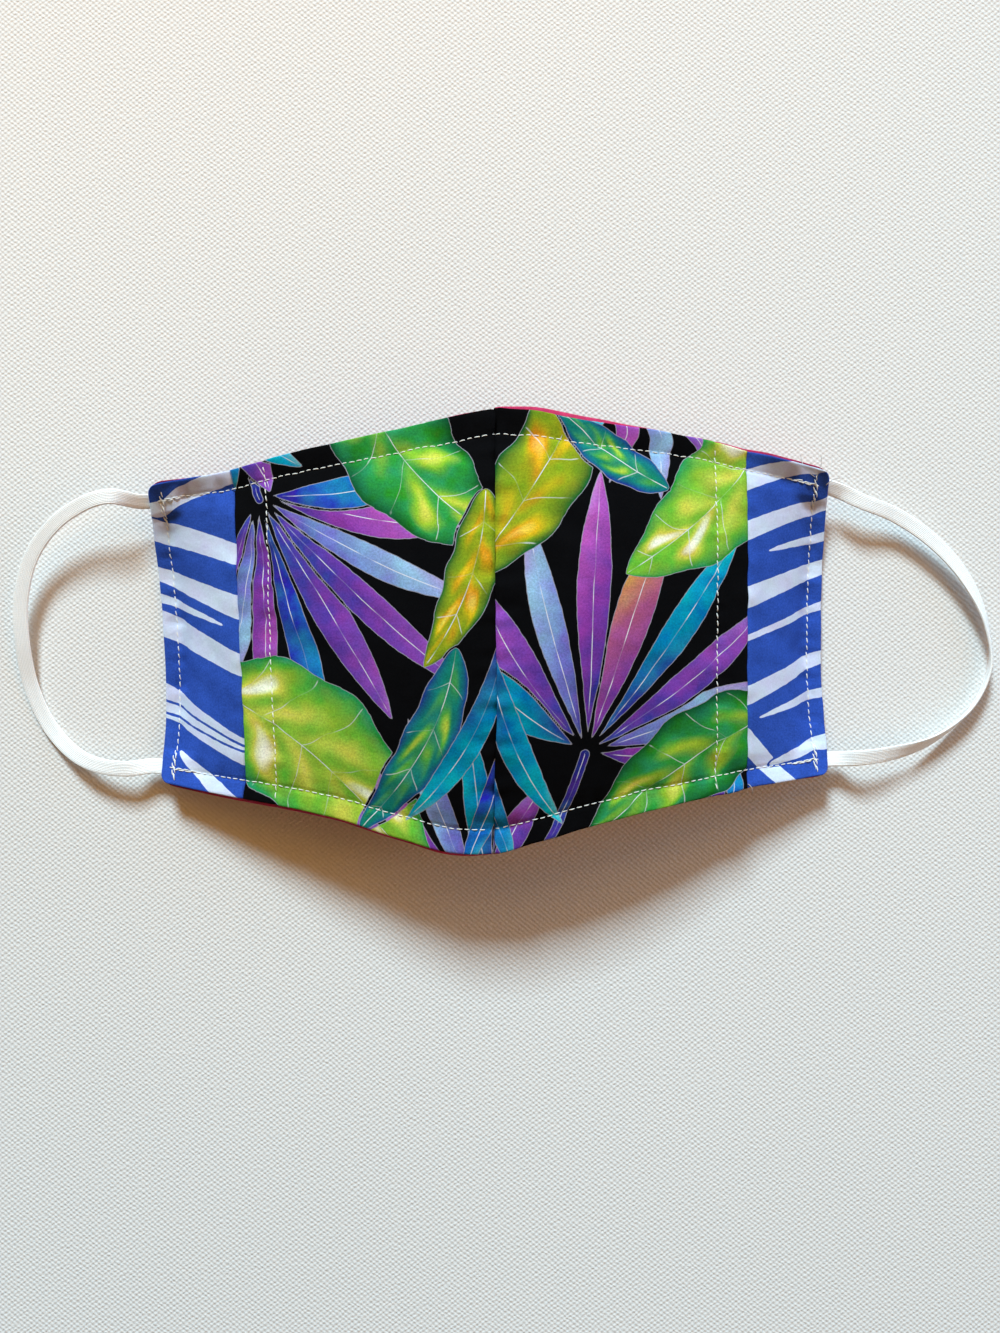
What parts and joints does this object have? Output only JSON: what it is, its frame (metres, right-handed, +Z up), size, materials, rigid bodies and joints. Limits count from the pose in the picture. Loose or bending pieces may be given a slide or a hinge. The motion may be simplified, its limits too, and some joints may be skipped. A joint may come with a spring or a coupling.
{
  "type": "cloth face mask",
  "caption": "Two-layer contoured cloth face mask with a centre seam, end panels, a lining and two flat elastic ear loops, lying dome up.",
  "frame": {"origin": "under the middle of the cloth body's bounding box, on the surface the mask lies on", "axes": "+X to the right side of the mask as seen from above, +Y towards the nose edge, +Z up out of the dome"},
  "size_m": [0.3202, 0.1366, 0.0381],
  "materials": {
    "outer_print": "printed plain-weave cotton",
    "side_print": "printed plain-weave cotton",
    "lining": "dyed plain-weave cotton",
    "elastic": "flat knitted elastic"
  },
  "bodies": {
    "root": {"outer_panel_left": "outer_print", "outer_panel_right": "outer_print", "side_panel_left": "side_print", "side_panel_right": "side_print", "lining_left": "lining", "lining_right": "lining", "ear_loop_left": "elastic", "ear_loop_right": "elastic"}
  },
  "joints": []
}
